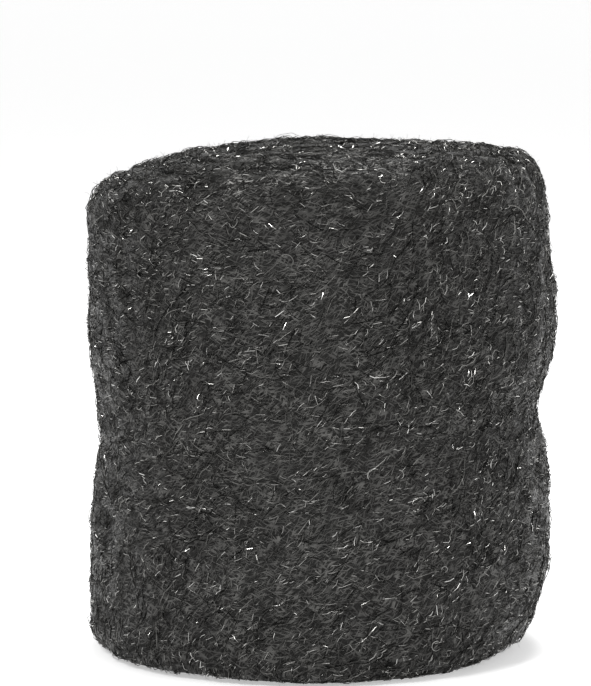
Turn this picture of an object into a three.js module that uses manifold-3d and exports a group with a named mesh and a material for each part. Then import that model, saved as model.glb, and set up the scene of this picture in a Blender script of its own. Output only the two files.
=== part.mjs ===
// Rolled pad of fine steel wool, standing on its end. One long ribbon of matted steel fibre is wound round
// itself into a soft roll, so the whole roll is one solid: a lumpy, round-shouldered barrel with the edges of
// its turns showing as a spiral valley on both ends.
// Millimetres, +Z up, origin at the middle of the flat foot. The front of the roll faces -Y.
import * as THREE from "three";
import { mergeVertices } from "three/addons/utils/BufferGeometryUtils.js";
import Module from "manifold-3d";

// Overall size of the roll
const ROLL_DIAMETER = 114; // of the outer turn where nothing presses on it
const ROLL_HEIGHT = 121; // from the foot to the top of the crown
const FOOT_ROUND = 7; // radius of the soft edge round the foot
const SHOULDER_ROUND = 9; // radius of the soft edge round the top
const CROWN = 2; // how far the middle of the top swells above the shoulder
const SAG = 7; // how far the top sinks at the roll's low side
const SAG_ANGLE = 180; // degrees from +X, where the low side is

// The wound ribbon
const TURN_THICKNESS = 9; // one turn of the ribbon, measured across the roll
const CORE_RADIUS = 5; // the tight start of the winding, inside the first valley
const VALLEY_WIDTH = 4; // between the edges of two turns, where they show on the ends
const VALLEY_DEPTH = 3.5;
const TAIL_STEP = 3; // how far the ribbon's free end stands above the turn under it
const TAIL_ANGLE = 100; // degrees from +X, at the back of the roll
const TAIL_FEATHER = 8; // degrees over which the free end thins out

// Soft hollows pressed into the side: the direction and height of each, its depth and how far it spreads
const SIDE_HOLLOWS = [
  { angle: 0, height: 58, depth: 4, spreadAngle: 45, spreadHeight: 9 }, // crease between two lobes
  { angle: 0, height: 36, depth: 1.5, spreadAngle: 60, spreadHeight: 24 }, // slacker lobe below it
  { angle: -10, height: 0, depth: 7, spreadAngle: 55, spreadHeight: 13 }, // soft foot of that lobe
  { angle: 10, height: ROLL_HEIGHT - 3, depth: 3.5, spreadAngle: 50, spreadHeight: 25 }, // drawn-in top
  { angle: 180, height: 55, depth: 2.5, spreadAngle: 60, spreadHeight: 15 }, // slack waist
  { angle: 80, height: 35, depth: 1.5, spreadAngle: 35, spreadHeight: 20 }, // slack patch at the back
];

// Soft lumps where the matted ribbon is thicker, in slanting rows that wander over the whole roll
const LUMP_SPACING = 14; // from a lump to the nearest ones
const LUMP_HEIGHT = 1.4; // from the hollows between the lumps to their tops
const LUMP_WANDER = 9; // how far the rows stray from straight ones
const WANDERS_ROUND = 5; // how often a level row strays in one turn
const WANDERS_UP = 3; // how often an upright row strays from the foot to the top

// How finely the soft surfaces are divided: the longest facet of each
const SIDE_FACET = 4.5; // round the roll and up its side
const EDGE_FACET = 2.9; // over the soft edges of the foot and the top
const TOP_FACET = 12; // from the soft edge of the top to the axis
const VALLEY_FACET_ANGLE = 15; // degrees of a turn, along the valley between the turns

const ROLL_RADIUS = ROLL_DIAMETER / 2;
const TOP_LEVEL = ROLL_HEIGHT - CROWN; // the top end before it swells
const FULL_TURN = 360;

// The smaller angle between two directions, in degrees.
function angleBetween(one, other) {
  const turn = THREE.MathUtils.euclideanModulo(other - one, FULL_TURN);
  return Math.min(turn, FULL_TURN - turn);
}

// A smooth hump: 1 at no distance, falling away over the spread.
function hump(distance, spread) {
  return Math.exp(-((distance / spread) ** 2));
}

// How far the side lies in from the full radius, because the winding grows towards its free end.
function windingInset(angle) {
  const past = THREE.MathUtils.euclideanModulo(angle - TAIL_ANGLE, FULL_TURN);
  const grown = past / (FULL_TURN - TAIL_FEATHER);
  const feathered = (FULL_TURN - past) / TAIL_FEATHER;
  return TAIL_STEP * (1 - Math.min(grown, feathered));
}

// How far the hollows press the side in, at a direction and height.
function hollowInset(angle, height) {
  let inset = 0;
  for (const hollow of SIDE_HOLLOWS) {
    const around = hump(angleBetween(angle, hollow.angle), hollow.spreadAngle);
    inset += hollow.depth * around * hump(height - hollow.height, hollow.spreadHeight);
  }
  return inset;
}

// How far the lumps stand out, at a direction and at a distance along the outline from the edge of the foot.
function lumpRise(angle, along) {
  const wave = LUMP_SPACING * Math.SQRT2;
  const lumpsRound = Math.round((2 * Math.PI * ROLL_RADIUS) / wave);
  const turned = THREE.MathUtils.degToRad(angle);
  const levelStray = LUMP_WANDER * Math.sin(WANDERS_ROUND * turned);
  const uprightStray = LUMP_WANDER * Math.sin((2 * Math.PI * WANDERS_UP * along) / ROLL_HEIGHT);
  const roundWave = Math.sin(lumpsRound * turned + (2 * Math.PI * uprightStray) / wave);
  const upWave = Math.sin((2 * Math.PI * (along + levelStray)) / wave);
  return (LUMP_HEIGHT / 2) * roundWave * upWave;
}

// Moves a point of a true cylinder to where the soft roll has it. The foot stays flat, and the axis upright.
function settle(point) {
  const angle = THREE.MathUtils.radToDeg(Math.atan2(point.y, point.x));
  const radius = Math.hypot(point.x, point.y);
  const outward = Math.min(radius / ROLL_RADIUS, 1);
  const lump = outward * lumpRise(angle, point.z + ROLL_RADIUS - radius);
  const towardsSag = outward * Math.cos(THREE.MathUtils.degToRad(angle - SAG_ANGLE));
  const swell = CROWN * Math.cos((outward * Math.PI) / 2) ** 2;
  const sunk = SAG * Math.max(towardsSag, 0) ** 2;
  const inset = windingInset(angle) + hollowInset(angle, point.z) - lump;
  point.x *= 1 - inset / ROLL_RADIUS;
  point.y *= 1 - inset / ROLL_RADIUS;
  point.z += (point.z / TOP_LEVEL) * (swell - sunk + lump);
  return point;
}

// How many equal facets divide a length.
function facetsAlong(length, longest) {
  return Math.ceil(length / longest);
}

// The barrel: half its outline turned about the axis, then every point settled.
// The last column of points closes on the first.
function barrelGeometry() {
  const outline = new THREE.Path();
  outline.moveTo(0, 0);
  outline.lineTo(ROLL_RADIUS - FOOT_ROUND, 0);
  outline.absarc(ROLL_RADIUS - FOOT_ROUND, FOOT_ROUND, FOOT_ROUND, -Math.PI / 2, 0);
  outline.lineTo(ROLL_RADIUS, TOP_LEVEL - SHOULDER_ROUND);
  outline.absarc(ROLL_RADIUS - SHOULDER_ROUND, TOP_LEVEL - SHOULDER_ROUND, SHOULDER_ROUND, 0, Math.PI / 2);
  outline.lineTo(0, TOP_LEVEL);
  const [foot, footEdge, side, topEdge, top] = outline.curves;
  const points = [
    ...foot.getPoints(1),
    ...footEdge.getPoints(facetsAlong(footEdge.getLength(), EDGE_FACET)).slice(1),
    ...side.getPoints(facetsAlong(side.getLength(), SIDE_FACET)).slice(1),
    ...topEdge.getPoints(facetsAlong(topEdge.getLength(), EDGE_FACET)).slice(1),
    ...top.getPoints(facetsAlong(top.getLength(), TOP_FACET)).slice(1),
  ];
  const columns = facetsAlong(2 * Math.PI * ROLL_RADIUS, SIDE_FACET);
  const barrel = new THREE.LatheGeometry(points, columns).rotateX(Math.PI / 2);
  const places = barrel.getAttribute("position");
  const lastColumn = columns * points.length;
  const point = new THREE.Vector3();
  for (let i = 0; i < places.count; i += 1) {
    if (i < lastColumn) {
      settle(point.fromBufferAttribute(places, i));
    } else {
      point.fromBufferAttribute(places, i - lastColumn);
    }
    places.setXYZ(i, point.x, point.y, point.z);
  }
  return barrel;
}

// The line between the turns on one end of the roll, from the core out to where it runs off the soft edge.
class TurnLine extends THREE.Curve {
  constructor(level) {
    super();
    this.level = level;
    this.turns = (ROLL_RADIUS - CORE_RADIUS) / TURN_THICKNESS;
  }

  getPoint(share, target = new THREE.Vector3()) {
    const radius = THREE.MathUtils.lerp(CORE_RADIUS, ROLL_RADIUS, share);
    const angle = THREE.MathUtils.degToRad(TAIL_ANGLE - FULL_TURN * this.turns * (1 - share));
    return settle(target.set(radius * Math.cos(angle), radius * Math.sin(angle), this.level));
  }

  // Steps along the line are equal angles, so that the tight inner turns are as round as the outer ones.
  getUtoTmapping(share) {
    return share;
  }
}

// A V-shaped cutter that follows the line between the turns, as tall outside the end as it is deep inside.
// The section's own x axis points down, so the cutter's deep edge is at +x on the top and -x on the foot.
function valleyGeometry(level, deepSide) {
  const line = new TurnLine(level);
  const section = new THREE.Shape();
  section.moveTo(deepSide * VALLEY_DEPTH, 0);
  section.lineTo(-deepSide * VALLEY_DEPTH, VALLEY_WIDTH);
  section.lineTo(-deepSide * VALLEY_DEPTH, -VALLEY_WIDTH);
  section.closePath();
  const steps = facetsAlong(FULL_TURN * line.turns, VALLEY_FACET_ANGLE);
  return new THREE.ExtrudeGeometry(section, { steps, extrudePath: line, bevelEnabled: false });
}

const wasm = await Module();
wasm.setup();

// A closed geometry as a solid that can be cut.
function solidOf(geometry) {
  geometry.deleteAttribute("normal");
  geometry.deleteAttribute("uv");
  const merged = mergeVertices(geometry);
  const vertProperties = new Float32Array(merged.getAttribute("position").array);
  const triVerts = new Uint32Array(merged.index.array);
  return new wasm.Manifold(new wasm.Mesh({ numProp: 3, vertProperties, triVerts }));
}

// A cut solid as a geometry that can be drawn.
function geometryOf(solid) {
  const mesh = solid.getMesh();
  const geometry = new THREE.BufferGeometry();
  geometry.setAttribute("position", new THREE.BufferAttribute(mesh.vertProperties, 3));
  geometry.setIndex(new THREE.BufferAttribute(mesh.triVerts, 1));
  geometry.computeVertexNormals();
  return geometry;
}

// The whole roll, moved so that its foot is centred on the origin.
function rollGeometry() {
  const topValley = solidOf(valleyGeometry(TOP_LEVEL, 1));
  const footValley = solidOf(valleyGeometry(0, -1));
  const roll = geometryOf(solidOf(barrelGeometry()).subtract(topValley).subtract(footValley));
  roll.computeBoundingBox();
  const { min, max } = roll.boundingBox;
  return roll.translate(-(min.x + max.x) / 2, -(min.y + max.y) / 2, -min.z);
}

const darkSteel = new THREE.MeshStandardMaterial({ color: 0x45474a, roughness: 0.6, metalness: 0.7 });
const roll = new THREE.Mesh(rollGeometry(), darkSteel);
roll.name = "steel_wool_roll";

const pad = new THREE.Group();
pad.add(roll);

export default pad;
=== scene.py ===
import math
import random
from typing import NamedTuple

import bmesh
import bpy
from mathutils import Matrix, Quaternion, Vector, noise
from mathutils.bvhtree import BVHTree


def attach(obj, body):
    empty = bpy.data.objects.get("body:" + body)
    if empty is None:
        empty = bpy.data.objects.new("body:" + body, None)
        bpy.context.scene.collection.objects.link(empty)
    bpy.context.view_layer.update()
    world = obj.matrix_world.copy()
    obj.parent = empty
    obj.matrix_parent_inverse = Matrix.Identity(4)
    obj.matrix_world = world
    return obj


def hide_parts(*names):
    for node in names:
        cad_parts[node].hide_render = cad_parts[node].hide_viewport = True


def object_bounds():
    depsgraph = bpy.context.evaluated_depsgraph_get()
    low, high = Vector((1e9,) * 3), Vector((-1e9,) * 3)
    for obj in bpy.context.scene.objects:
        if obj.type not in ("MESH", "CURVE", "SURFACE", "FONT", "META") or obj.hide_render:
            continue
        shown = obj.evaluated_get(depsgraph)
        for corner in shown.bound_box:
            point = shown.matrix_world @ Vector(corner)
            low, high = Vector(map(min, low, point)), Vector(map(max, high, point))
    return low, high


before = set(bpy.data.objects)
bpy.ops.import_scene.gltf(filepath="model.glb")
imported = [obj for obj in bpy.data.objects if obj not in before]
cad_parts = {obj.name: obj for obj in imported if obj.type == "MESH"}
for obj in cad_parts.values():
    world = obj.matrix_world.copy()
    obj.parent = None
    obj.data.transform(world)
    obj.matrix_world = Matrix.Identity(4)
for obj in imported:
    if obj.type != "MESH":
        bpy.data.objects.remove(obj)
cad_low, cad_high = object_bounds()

# The wound mass: one long ribbon of matted steel wool, carded from fine steel shavings and rolled up by hand.
# The roll is soft, so its side is lumpy and its turns swell apart at both ends.
# Its mesh is the solid roll with small tufts raised on it, and every strand of the pad is laid on it.
MM = 0.001
ROLL_NODE = "steel_wool_roll"
ROLL_RADIUS = 55 * MM
TAIL_ANGLE = math.radians(100)
MERGE_DISTANCE = 0.01 * MM
MESH_STEP = 1.3 * MM
SMOOTHING_ROUNDS, SMOOTHING = 3, 0.5
TUFT_SPACING, TUFT_HEIGHT = 6 * MM, 0.6 * MM
FOOT_FADE = 4 * MM

mass = bpy.data.objects.new("wool_mass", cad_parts[ROLL_NODE].data.copy())
bpy.context.scene.collection.objects.link(mass)
shape = bmesh.new()
shape.from_mesh(mass.data)
bmesh.ops.remove_doubles(shape, verts=shape.verts, dist=MERGE_DISTANCE)
shape.to_mesh(mass.data)
shape.free()
mass.data.remesh_voxel_size = MESH_STEP
bpy.context.view_layer.objects.active = mass
mass.select_set(True)
bpy.ops.object.voxel_remesh()

shape = bmesh.new()
shape.from_mesh(mass.data)
for _ in range(SMOOTHING_ROUNDS):
    bmesh.ops.smooth_vert(
        shape, verts=shape.verts, factor=SMOOTHING, use_axis_x=True, use_axis_y=True, use_axis_z=True
    )
shape.normal_update()
rises = []
for vert in shape.verts:
    tuft = TUFT_HEIGHT * noise.noise(vert.co / TUFT_SPACING)
    rises.append(vert.normal * tuft * min(1.0, vert.co.z / FOOT_FADE))
for vert, rise in zip(shape.verts, rises):
    vert.co += rise
    vert.co.z = max(vert.co.z, 0.0)
shape.normal_update()
surface = BVHTree.FromBMesh(shape)
beds = [(face.calc_center_median(), face.normal.copy()) for face in shape.faces]
shape.to_mesh(mass.data)
shape.free()
mass.data.shade_smooth()


class Value:
    """A socket in a node tree. Arithmetic on it adds Math nodes, and node() adds a node of any other kind."""

    def __init__(self, tree, socket=None):
        self.tree = tree
        self.socket = socket

    def node(self, kind, settings=None, inputs=None, output=0):
        """Adds a node, sets its settings, then sets or links its inputs, and gives one of its outputs."""
        made = self.tree.nodes.new(kind)
        for name, setting in (settings or {}).items():
            setattr(made, name, setting)
        for key, value in (inputs or {}).items():
            if isinstance(value, Value):
                self.tree.links.new(value.socket, made.inputs[key])
            else:
                made.inputs[key].default_value = value
        return Value(self.tree, made.outputs[output])

    def maths(self, operation, *values):
        """Adds a Math node."""
        return self.node("ShaderNodeMath", {"operation": operation}, dict(enumerate(values)))

    def output(self, key):
        """Another output of the node that this socket belongs to."""
        return Value(self.tree, self.socket.node.outputs[key])

    def feed(self, shader, name):
        """Links this socket to an input of a shader."""
        self.tree.links.new(self.socket, shader.inputs[name])

    def __add__(self, other):
        return self.maths("ADD", self, other)

    def __radd__(self, other):
        return self.maths("ADD", other, self)

    def __sub__(self, other):
        return self.maths("SUBTRACT", self, other)

    def __rsub__(self, other):
        return self.maths("SUBTRACT", other, self)

    def __mul__(self, other):
        return self.maths("MULTIPLY", self, other)

    def __rmul__(self, other):
        return self.maths("MULTIPLY", other, self)

    def __truediv__(self, other):
        return self.maths("DIVIDE", self, other)

    def __rtruediv__(self, other):
        return self.maths("DIVIDE", other, self)


def new_material(name):
    """A material with a bare Principled shader, and its node tree as a value to build on."""
    material = bpy.data.materials.new(name)
    material.use_nodes = True
    shader = material.node_tree.nodes["Principled BSDF"]
    return material, shader, Value(material.node_tree)


# The mass's colour is partly painted light: the dark ground is painted shade deep among the strands as well
# as the oily steel, and the pale lines on it are painted glints of strands.
WOOL_DARK = (0.013, 0.0128, 0.0122, 1.0)
WOOL_LIT = (0.1, 0.0985, 0.094, 1.0)
WOOL_METALLIC = 0.85
WOOL_ROUGHNESS, STRAND_POLISH = 0.6, 0.25
SWIRL_SPACING, SWIRL_SHIFT = 9 * MM, 3.5 * MM
GLINT_BREAK_SPACING, GLINT_BREAK_GAIN, GLINT_BREAK_LOSS = 3 * MM, 1.4, 0.2
LINE_LEVEL, LINE_SHARPNESS = 0.58, 6
LINE_HEIGHT, LINE_RELIEF = 0.12 * MM, 0.8
LINE_LAYERS = (
    {"lean": 6, "length": 3.4 * MM, "width": 0.4 * MM},
    {"lean": 33, "length": 2.8 * MM, "width": 0.36 * MM},
    {"lean": 64, "length": 2.6 * MM, "width": 0.4 * MM},
    {"lean": -28, "length": 2.8 * MM, "width": 0.4 * MM},
)
NOISE_MIDDLE = 0.5
MIX_FACTOR, MIX_FROM, MIX_TO, MIXED_COLOUR = 0, 6, 7, 2  # a Mix node's sockets when it mixes colours
wool, wool_shader, nodes = new_material("matted_steel_wool")
place = nodes.node("ShaderNodeTexCoord", output="Object")
x = nodes.node("ShaderNodeSeparateXYZ", inputs={0: place})
y = x.output("Y")
z = x.output("Z")
seam = TAIL_ANGLE + math.pi
ahead = x * math.cos(seam) + y * math.sin(seam)
aside = y * math.cos(seam) - x * math.sin(seam)
around = nodes.maths("ARCTAN2", aside, ahead) * ROLL_RADIUS
level = z - nodes.maths("SQRT", x * x + y * y)
swirl = nodes.node("ShaderNodeTexNoise", inputs={"Vector": place, "Scale": 1 / SWIRL_SPACING, "Detail": 1.0})
swirl = (swirl - NOISE_MIDDLE) * SWIRL_SHIFT


def strand_lines(lean, length, width):
    """Short thin lines where one layer of strands shows in the mass: 1 on a strand and 0 beside it."""
    climb = math.radians(lean)
    along = around * math.cos(climb) + level * math.sin(climb)
    across = level * math.cos(climb) - around * math.sin(climb) + swirl
    spot = nodes.node("ShaderNodeCombineXYZ", inputs={"X": along / length, "Y": across / width})
    grain = nodes.node(
        "ShaderNodeTexNoise",
        {"noise_dimensions": "2D"},
        {"Vector": spot, "Scale": 1.0, "Detail": 0.0},
    )
    line = nodes.maths("MAXIMUM", (grain - LINE_LEVEL) * LINE_SHARPNESS, 0.0)
    return nodes.maths("MINIMUM", line, 1.0)


lines = strand_lines(**LINE_LAYERS[0])
for layer in LINE_LAYERS[1:]:
    lines = nodes.maths("MAXIMUM", lines, strand_lines(**layer))
# This noise cuts the painted glints on the lines into short bright dashes, with dark gaps between them.
glint_breaks = nodes.node("ShaderNodeTexNoise", inputs={"Vector": place, "Scale": 1 / GLINT_BREAK_SPACING, "Detail": 2.0})
shine = lines * (glint_breaks * GLINT_BREAK_GAIN - GLINT_BREAK_LOSS)
colour = nodes.node(
    "ShaderNodeMix",
    {"data_type": "RGBA"},
    {MIX_FACTOR: shine, MIX_FROM: WOOL_DARK, MIX_TO: WOOL_LIT},
    output=MIXED_COLOUR,
)
colour.feed(wool_shader, "Base Color")
(WOOL_ROUGHNESS - STRAND_POLISH * lines).feed(wool_shader, "Roughness")
bump = nodes.node(
    "ShaderNodeBump", inputs={"Strength": LINE_RELIEF, "Distance": LINE_HEIGHT, "Height": lines}
)
bump.feed(wool_shader, "Normal")
wool_shader.inputs["Metallic"].default_value = WOOL_METALLIC
mass.data.materials.clear()
mass.data.materials.append(wool)
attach(mass, "root")
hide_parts(ROLL_NODE)

# The strands of the side: steel shavings a tenth of a millimetre or so thick, with a three-cornered section.
# They lie round the roll as the ribbon was wound, stirred into swirls, and each dips in and out of the mass.
# The long dull ones make the matting, and the short bright ones are the stretches that catch the light.
# The shades are partly painted light: the darkest stands for strands in shade inside the mass as well as
# their oil, and the palest are painted glints of strands catching the lamps.
STEEL_SHADES = {
    "oily_shaded_steel": {"Base Color": (0.022, 0.0216, 0.0205, 1.0), "Roughness": 0.34},
    "grey_steel": {"Base Color": (0.05, 0.0492, 0.047, 1.0), "Roughness": 0.3},
    "light_steel": {"Base Color": (0.13, 0.128, 0.122, 1.0), "Roughness": 0.26},
    "bright_steel": {"Base Color": (0.3, 0.296, 0.285, 1.0), "Roughness": 0.22},
    "glint_steel": {"Base Color": (0.55, 0.545, 0.53, 1.0), "Roughness": 0.2},
}
EDGE_SHINE = (0.45, 0.45, 0.45, 1.0)
# How often each shade is drawn: the short strands draw mostly the pale shades, which are painted glints.
DULL_SHARES = (0.55, 0.41, 0.04, 0.0, 0.0)
BRIGHT_SHARES = (0.0, 0.2, 0.45, 0.28, 0.07)
SECTION_CORNERS = 3
LONG_STRANDS, SHORT_STRANDS = 5000, 10000
STEEP_SIDE = 0.75
MID_HEIGHT = (cad_low[2] + cad_high[2]) / 2
CLIMB = math.radians(8)
RIGHT_SIDE, RIGHT_CLIMB = math.radians(-20), math.radians(24)
LEFT_SIDE, LEFT_CLIMB, LEFT_TOP = math.radians(-150), math.radians(40), 70 * MM
DRIFT_SPACING, DRIFT_TURN = 30 * MM, math.radians(40)
STIR_SPACING, STIR_TURN = 8 * MM, math.radians(36)
LOWEST_POINT = 0.12 * MM
shades = []
for name, finish in STEEL_SHADES.items():
    material, shader, _ = new_material(name)
    for socket, value in finish.items():
        shader.inputs[socket].default_value = value
    shader.inputs["Metallic"].default_value = 1.0
    shader.inputs["Specular Tint"].default_value = EDGE_SHINE
    shades.append(material)

corners = bpy.data.curves.new("strand_section", "CURVE")
corners.dimensions = "2D"
corner_line = corners.splines.new("POLY")
corner_line.points.add(SECTION_CORNERS - 1)
for k, point in enumerate(corner_line.points):
    turn = k * math.tau / SECTION_CORNERS
    point.co = (math.cos(turn), math.sin(turn), 0.0, 1.0)
corner_line.use_cyclic_u = True
section = bpy.data.objects.new("strand_section", corners)
bpy.context.scene.collection.objects.link(section)


class Lay(NamedTuple):
    """How one kind of strand lies, in millimetres and degrees. A pair is the least and the most."""

    thickness: tuple
    strides: int  # straight stretches in one strand
    stride: tuple  # length of a stretch
    depth: tuple  # how far the strand's ends sink into the mass
    arch: tuple  # how far its middle rises from there
    spread: float  # how far it leans from its neighbours
    wobble: float  # how far it turns aside after each stretch
    curl: tuple = (0, 0)  # how far it turns the same way after each stretch


def way_round(place, normal):
    """The direction along the surface in which the winding goes round at a place."""
    round_axis = Vector((-place.y, place.x, 0.0))
    flat = round_axis - normal * round_axis.dot(normal)
    return flat.normalized()


def climb_at(place):
    """The angle at which the strands climb as they go round: steepest at the right and at the lower left."""
    side = math.atan2(place.y, place.x)
    at_right = max(0.0, math.cos(side - RIGHT_SIDE))
    at_left = max(0.0, math.cos(side - LEFT_SIDE)) * max(0.0, 1 - place.z / LEFT_TOP)
    drift = DRIFT_TURN * noise.noise(place / DRIFT_SPACING)
    stir = STIR_TURN * noise.noise(place / STIR_SPACING)
    return CLIMB + RIGHT_CLIMB * at_right + LEFT_CLIMB * at_left + drift + stir


def lay_strand(draw, bed, lay):
    """The points of one strand, which starts on a bed of the surface and follows the winding from there."""
    place, normal = bed
    stride = draw.uniform(*lay.stride) * MM
    depth = draw.uniform(*lay.depth) * MM
    arch = draw.uniform(*lay.arch) * MM
    curl = draw.choice((-1, 1)) * math.radians(draw.uniform(*lay.curl))
    stray = draw.gauss(0.0, math.radians(lay.spread))
    sense = draw.choice((-1, 1))
    points = []
    for k in range(lay.strides + 1):
        spot = place + normal * (arch * math.sin(math.pi * k / lay.strides) - depth)
        spot.z = max(spot.z, LOWEST_POINT)
        points.append(spot)
        stray += draw.gauss(0.0, math.radians(lay.wobble)) + curl
        heading = Quaternion(normal, climb_at(place) + stray) @ way_round(place, normal)
        place, normal, _, _ = surface.find_nearest(place + heading * sense * stride)
    return points


def scatter(seed, beds, count, lay):
    """Many strands laid on beds drawn at random, each as its points and its thickness."""
    draw = random.Random(seed)
    strands = []
    for _ in range(count):
        points = lay_strand(draw, draw.choice(beds), lay)
        strands.append((points, draw.uniform(*lay.thickness) * MM))
    return strands


def make_strands(name, strands, shares):
    """One piece from many strands, each in a shade of steel drawn by the shades' shares."""
    draw = random.Random(name)
    line = bpy.data.curves.new(name, "CURVE")
    line.dimensions = "3D"
    line.bevel_mode = "OBJECT"
    line.bevel_object = section
    line.use_fill_caps = True
    for shade in shades:
        line.materials.append(shade)
    for points, thickness in strands:
        spline = line.splines.new("POLY")
        spline.points.add(len(points) - 1)
        spline.points.foreach_set("co", [c for point in points for c in (*point, 1.0)])
        spline.points.foreach_set("radius", [thickness / 2] * len(points))
        spline.points.foreach_set("tilt", [draw.uniform(0, math.tau)] * len(points))
        spline.material_index = draw.choices(range(len(shades)), shares)[0]
    drawn = bpy.data.objects.new(name + "_line", line)
    bpy.context.scene.collection.objects.link(drawn)
    solid = bpy.data.meshes.new_from_object(drawn.evaluated_get(bpy.context.evaluated_depsgraph_get()))
    bpy.data.objects.remove(drawn)
    turned = bmesh.new()
    turned.from_mesh(solid)
    bmesh.ops.recalc_face_normals(turned, faces=turned.faces)
    turned.to_mesh(solid)
    turned.free()
    solid.shade_flat()
    piece = bpy.data.objects.new(name, solid)
    bpy.context.scene.collection.objects.link(piece)
    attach(piece, "root")


LONG_LAY = Lay(
    thickness=(0.1, 0.2),
    strides=4,
    stride=(1.2, 2.6),
    depth=(0.0, 0.4),
    arch=(0.2, 0.9),
    spread=28,
    wobble=15,
)
SHORT_LAY = Lay(
    thickness=(0.09, 0.18),
    strides=2,
    stride=(0.4, 1.3),
    depth=(-0.1, 0.15),
    arch=(0.2, 0.6),
    spread=30,
    wobble=14,
)
side_beds = [(place, normal) for place, normal in beds if abs(normal.z) < STEEP_SIDE]
for half, half_beds in (
    ("lower", [(place, normal) for place, normal in side_beds if place.z < MID_HEIGHT]),
    ("upper", [(place, normal) for place, normal in side_beds if place.z >= MID_HEIGHT]),
):
    strands = scatter("matting " + half, half_beds, LONG_STRANDS, LONG_LAY)
    make_strands("side_strands_" + half, strands, DULL_SHARES)
    strands = scatter("glints " + half, half_beds, SHORT_STRANDS, SHORT_LAY)
    make_strands("side_glints_" + half, strands, BRIGHT_SHARES)

# The strands of the two ends: the edges of the wound ribbon, where its strands come up and turn back.
# They follow the turns. The long ones lie less neatly than on the side, and some bridge the valleys.
END_STRANDS, END_GLINTS = 4200, 5000
# Fewer pale shades than on the side, so the ends show fewer painted glints.
END_SHARES = (0.05, 0.27, 0.45, 0.19, 0.04)
END_LAY = LONG_LAY._replace(spread=36, wobble=16)
END_GLINT_LAY = SHORT_LAY._replace(wobble=12)
end_beds = [(place, normal) for place, normal in beds if abs(normal.z) >= STEEP_SIDE]
strands = scatter("end matting", end_beds, END_STRANDS, END_LAY)
make_strands("end_strands", strands, DULL_SHARES)
strands = scatter("end glints", end_beds, END_GLINTS, END_GLINT_LAY)
make_strands("end_glints", strands, END_SHARES)

# The ribbon's free end at the back: it is torn across, so its last strands fan out over the turn below.
# They are the same shavings as the rest, and only their own springiness holds them down.
TAIL_STRANDS = 700
TAIL_REACH = math.radians(9)
TAIL_SHARES = (0.4, 0.4, 0.16, 0.04, 0.0)
TAIL_LAY = LONG_LAY._replace(stride=(1.6, 3.2), depth=(-0.3, 0.3), arch=(0.3, 1.6), spread=30, wobble=16)
tail_beds = []
for place, normal in side_beds:
    past_tail = math.remainder(math.atan2(place.y, place.x) - TAIL_ANGLE, math.tau)
    if abs(past_tail) < TAIL_REACH:
        tail_beds.append((place, normal))
make_strands("tail_strands", scatter("tail", tail_beds, TAIL_STRANDS, TAIL_LAY), TAIL_SHARES)

# Curls and stray ends: the finest shavings, wound up small by the cutting tool.
# The curls lie on the mass in loops a few millimetres across, and the strays stand off it as a short fuzz.
CURLS = 1300
CURL_LAY = Lay(
    thickness=(0.08, 0.15),
    strides=8,
    stride=(0.35, 0.8),
    depth=(-0.2, 0.2),
    arch=(0.3, 0.9),
    spread=180,
    wobble=6,
    curl=(18, 42),
)
STRAYS, STRAY_POINTS = 4000, 4
STRAY_THICKNESS = (0.05 * MM, 0.08 * MM)
STRAY_STRIDE = (0.4 * MM, 0.9 * MM)
STRAY_RISE = (0.2, 0.9)
STRAY_CURL = math.radians(34)
LOOSE_SHARES = (0.3, 0.4, 0.2, 0.08, 0.02)
strands = scatter("curls", beds, CURLS, CURL_LAY)
draw = random.Random("strays")
for _ in range(STRAYS):
    place, normal = draw.choice(beds)
    heading = Quaternion(normal, draw.uniform(0, math.tau)) @ way_round(place, normal)
    curl_axis = Vector((draw.gauss(0, 1), draw.gauss(0, 1), draw.gauss(0, 1))).normalized()
    curl = Quaternion(curl_axis, draw.gauss(0, STRAY_CURL))
    step = (heading + normal * draw.uniform(*STRAY_RISE)).normalized() * draw.uniform(*STRAY_STRIDE)
    points = [place]
    while len(points) < STRAY_POINTS:
        points.append(points[-1] + step)
        step = curl @ step
    if min(point.z for point in points) > LOWEST_POINT:
        strands.append((points, draw.uniform(*STRAY_THICKNESS)))
make_strands("loose_strands", strands, LOOSE_SHARES)
bpy.data.objects.remove(section)

# The stage: a pale floor under a white surround, which lights the pad softly from all sides.
# Three small lamps, in front, at the right and overhead, give the steel its glints.
FLOOR_SIZE = 30.0
FLOOR_COLOUR, FLOOR_ROUGHNESS = (0.86, 0.86, 0.86, 1.0), 0.8
FLOOR_GLOW = 0.45
SURROUND_LIGHT = 0.55
WHITE = (1.0, 1.0, 1.0, 1.0)
LAMP_AIM = Vector((0.0, 0.0, 60 * MM))
floor_mesh = bpy.data.meshes.new("floor")
flat = bmesh.new()
bmesh.ops.create_grid(flat, x_segments=1, y_segments=1, size=FLOOR_SIZE)
flat.to_mesh(floor_mesh)
flat.free()
floor = bpy.data.objects.new("floor", floor_mesh)
bpy.context.scene.collection.objects.link(floor)


def seen_directly(nodes):
    """1 for a ray from the camera or off a shiny or clear surface, and 0 for light that falls on things."""
    rays = nodes.node("ShaderNodeLightPath")
    seen = nodes.maths("MAXIMUM", rays.output("Is Camera Ray"), rays.output("Is Glossy Ray"))
    return nodes.maths("MAXIMUM", seen, rays.output("Is Transmission Ray"))


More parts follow.
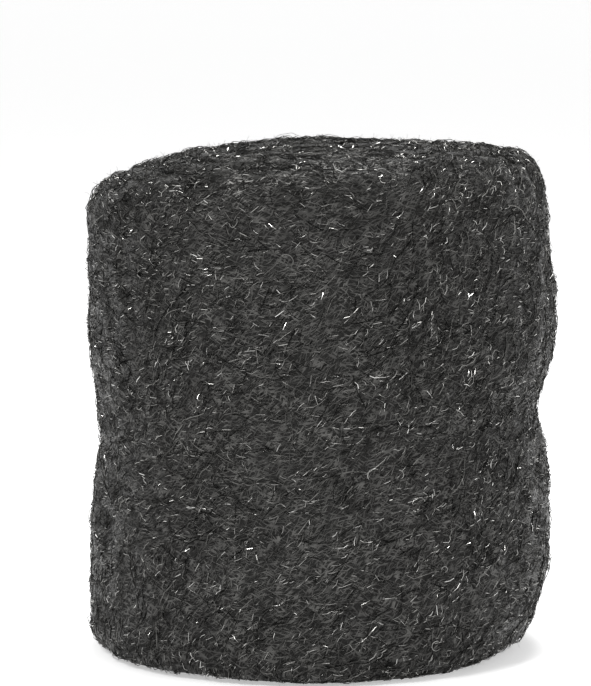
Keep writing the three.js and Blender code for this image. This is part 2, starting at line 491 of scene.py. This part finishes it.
floor_paint, floor_shader, nodes = new_material("pale_floor")
floor_shader.inputs["Base Color"].default_value = FLOOR_COLOUR
floor_shader.inputs["Roughness"].default_value = FLOOR_ROUGHNESS
floor_shader.inputs["Emission Color"].default_value = WHITE
(seen_directly(nodes) * FLOOR_GLOW).feed(floor_shader, "Emission Strength")
floor_mesh.materials.append(floor_paint)

surround = bpy.data.worlds.new("surround")
surround.use_nodes = True
bpy.context.scene.world = surround
background = surround.node_tree.nodes["Background"]
background.inputs["Color"].default_value = WHITE
nodes = Value(surround.node_tree)
(SURROUND_LIGHT + seen_directly(nodes) * (1 - SURROUND_LIGHT)).feed(background, "Strength")

for name, place, size, watts in (
    ("front_lamp", Vector((-0.45, -0.8, 0.9)), 0.3, 7.5),
    ("right_lamp", Vector((0.9, -0.5, 0.5)), 0.3, 1.2),
    ("overhead_lamp", Vector((0.1, 0.2, 1.1)), 0.4, 8.5),
):
    light = bpy.data.lights.new(name, "AREA")
    light.size = size
    light.energy = watts
    lamp = bpy.data.objects.new(name, light)
    lamp.location = place
    lamp.rotation_euler = (LAMP_AIM - place).to_track_quat("-Z", "Y").to_euler()
    bpy.context.scene.collection.objects.link(lamp)

# The camera: a long lens a little above the middle of the roll.
# It looks past the roll's middle, so that the roll stands low and to the right in the picture.
IMAGE_HEIGHT = 686
FOCAL_PIXELS = 3444
CAMERA_DISTANCE = 15 * ROLL_RADIUS
CAMERA_RISE = math.radians(7.31)
ROLL_MIDDLE = Vector((0.0, 0.0, 56.1 * MM))
AIM_OFFSET = Vector((-6.1 * MM, 0.0, 16.6 * MM))
lens = bpy.data.cameras.new("camera")
lens.lens = FOCAL_PIXELS * lens.sensor_width / IMAGE_HEIGHT
camera = bpy.data.objects.new("camera", lens)
camera.location = ROLL_MIDDLE + CAMERA_DISTANCE * Vector((0.0, -math.cos(CAMERA_RISE), math.sin(CAMERA_RISE)))
camera.rotation_euler = (ROLL_MIDDLE + AIM_OFFSET - camera.location).to_track_quat("-Z", "Y").to_euler()
bpy.context.scene.collection.objects.link(camera)
bpy.context.scene.camera = camera
bpy.context.scene.view_settings.view_transform = "Standard"
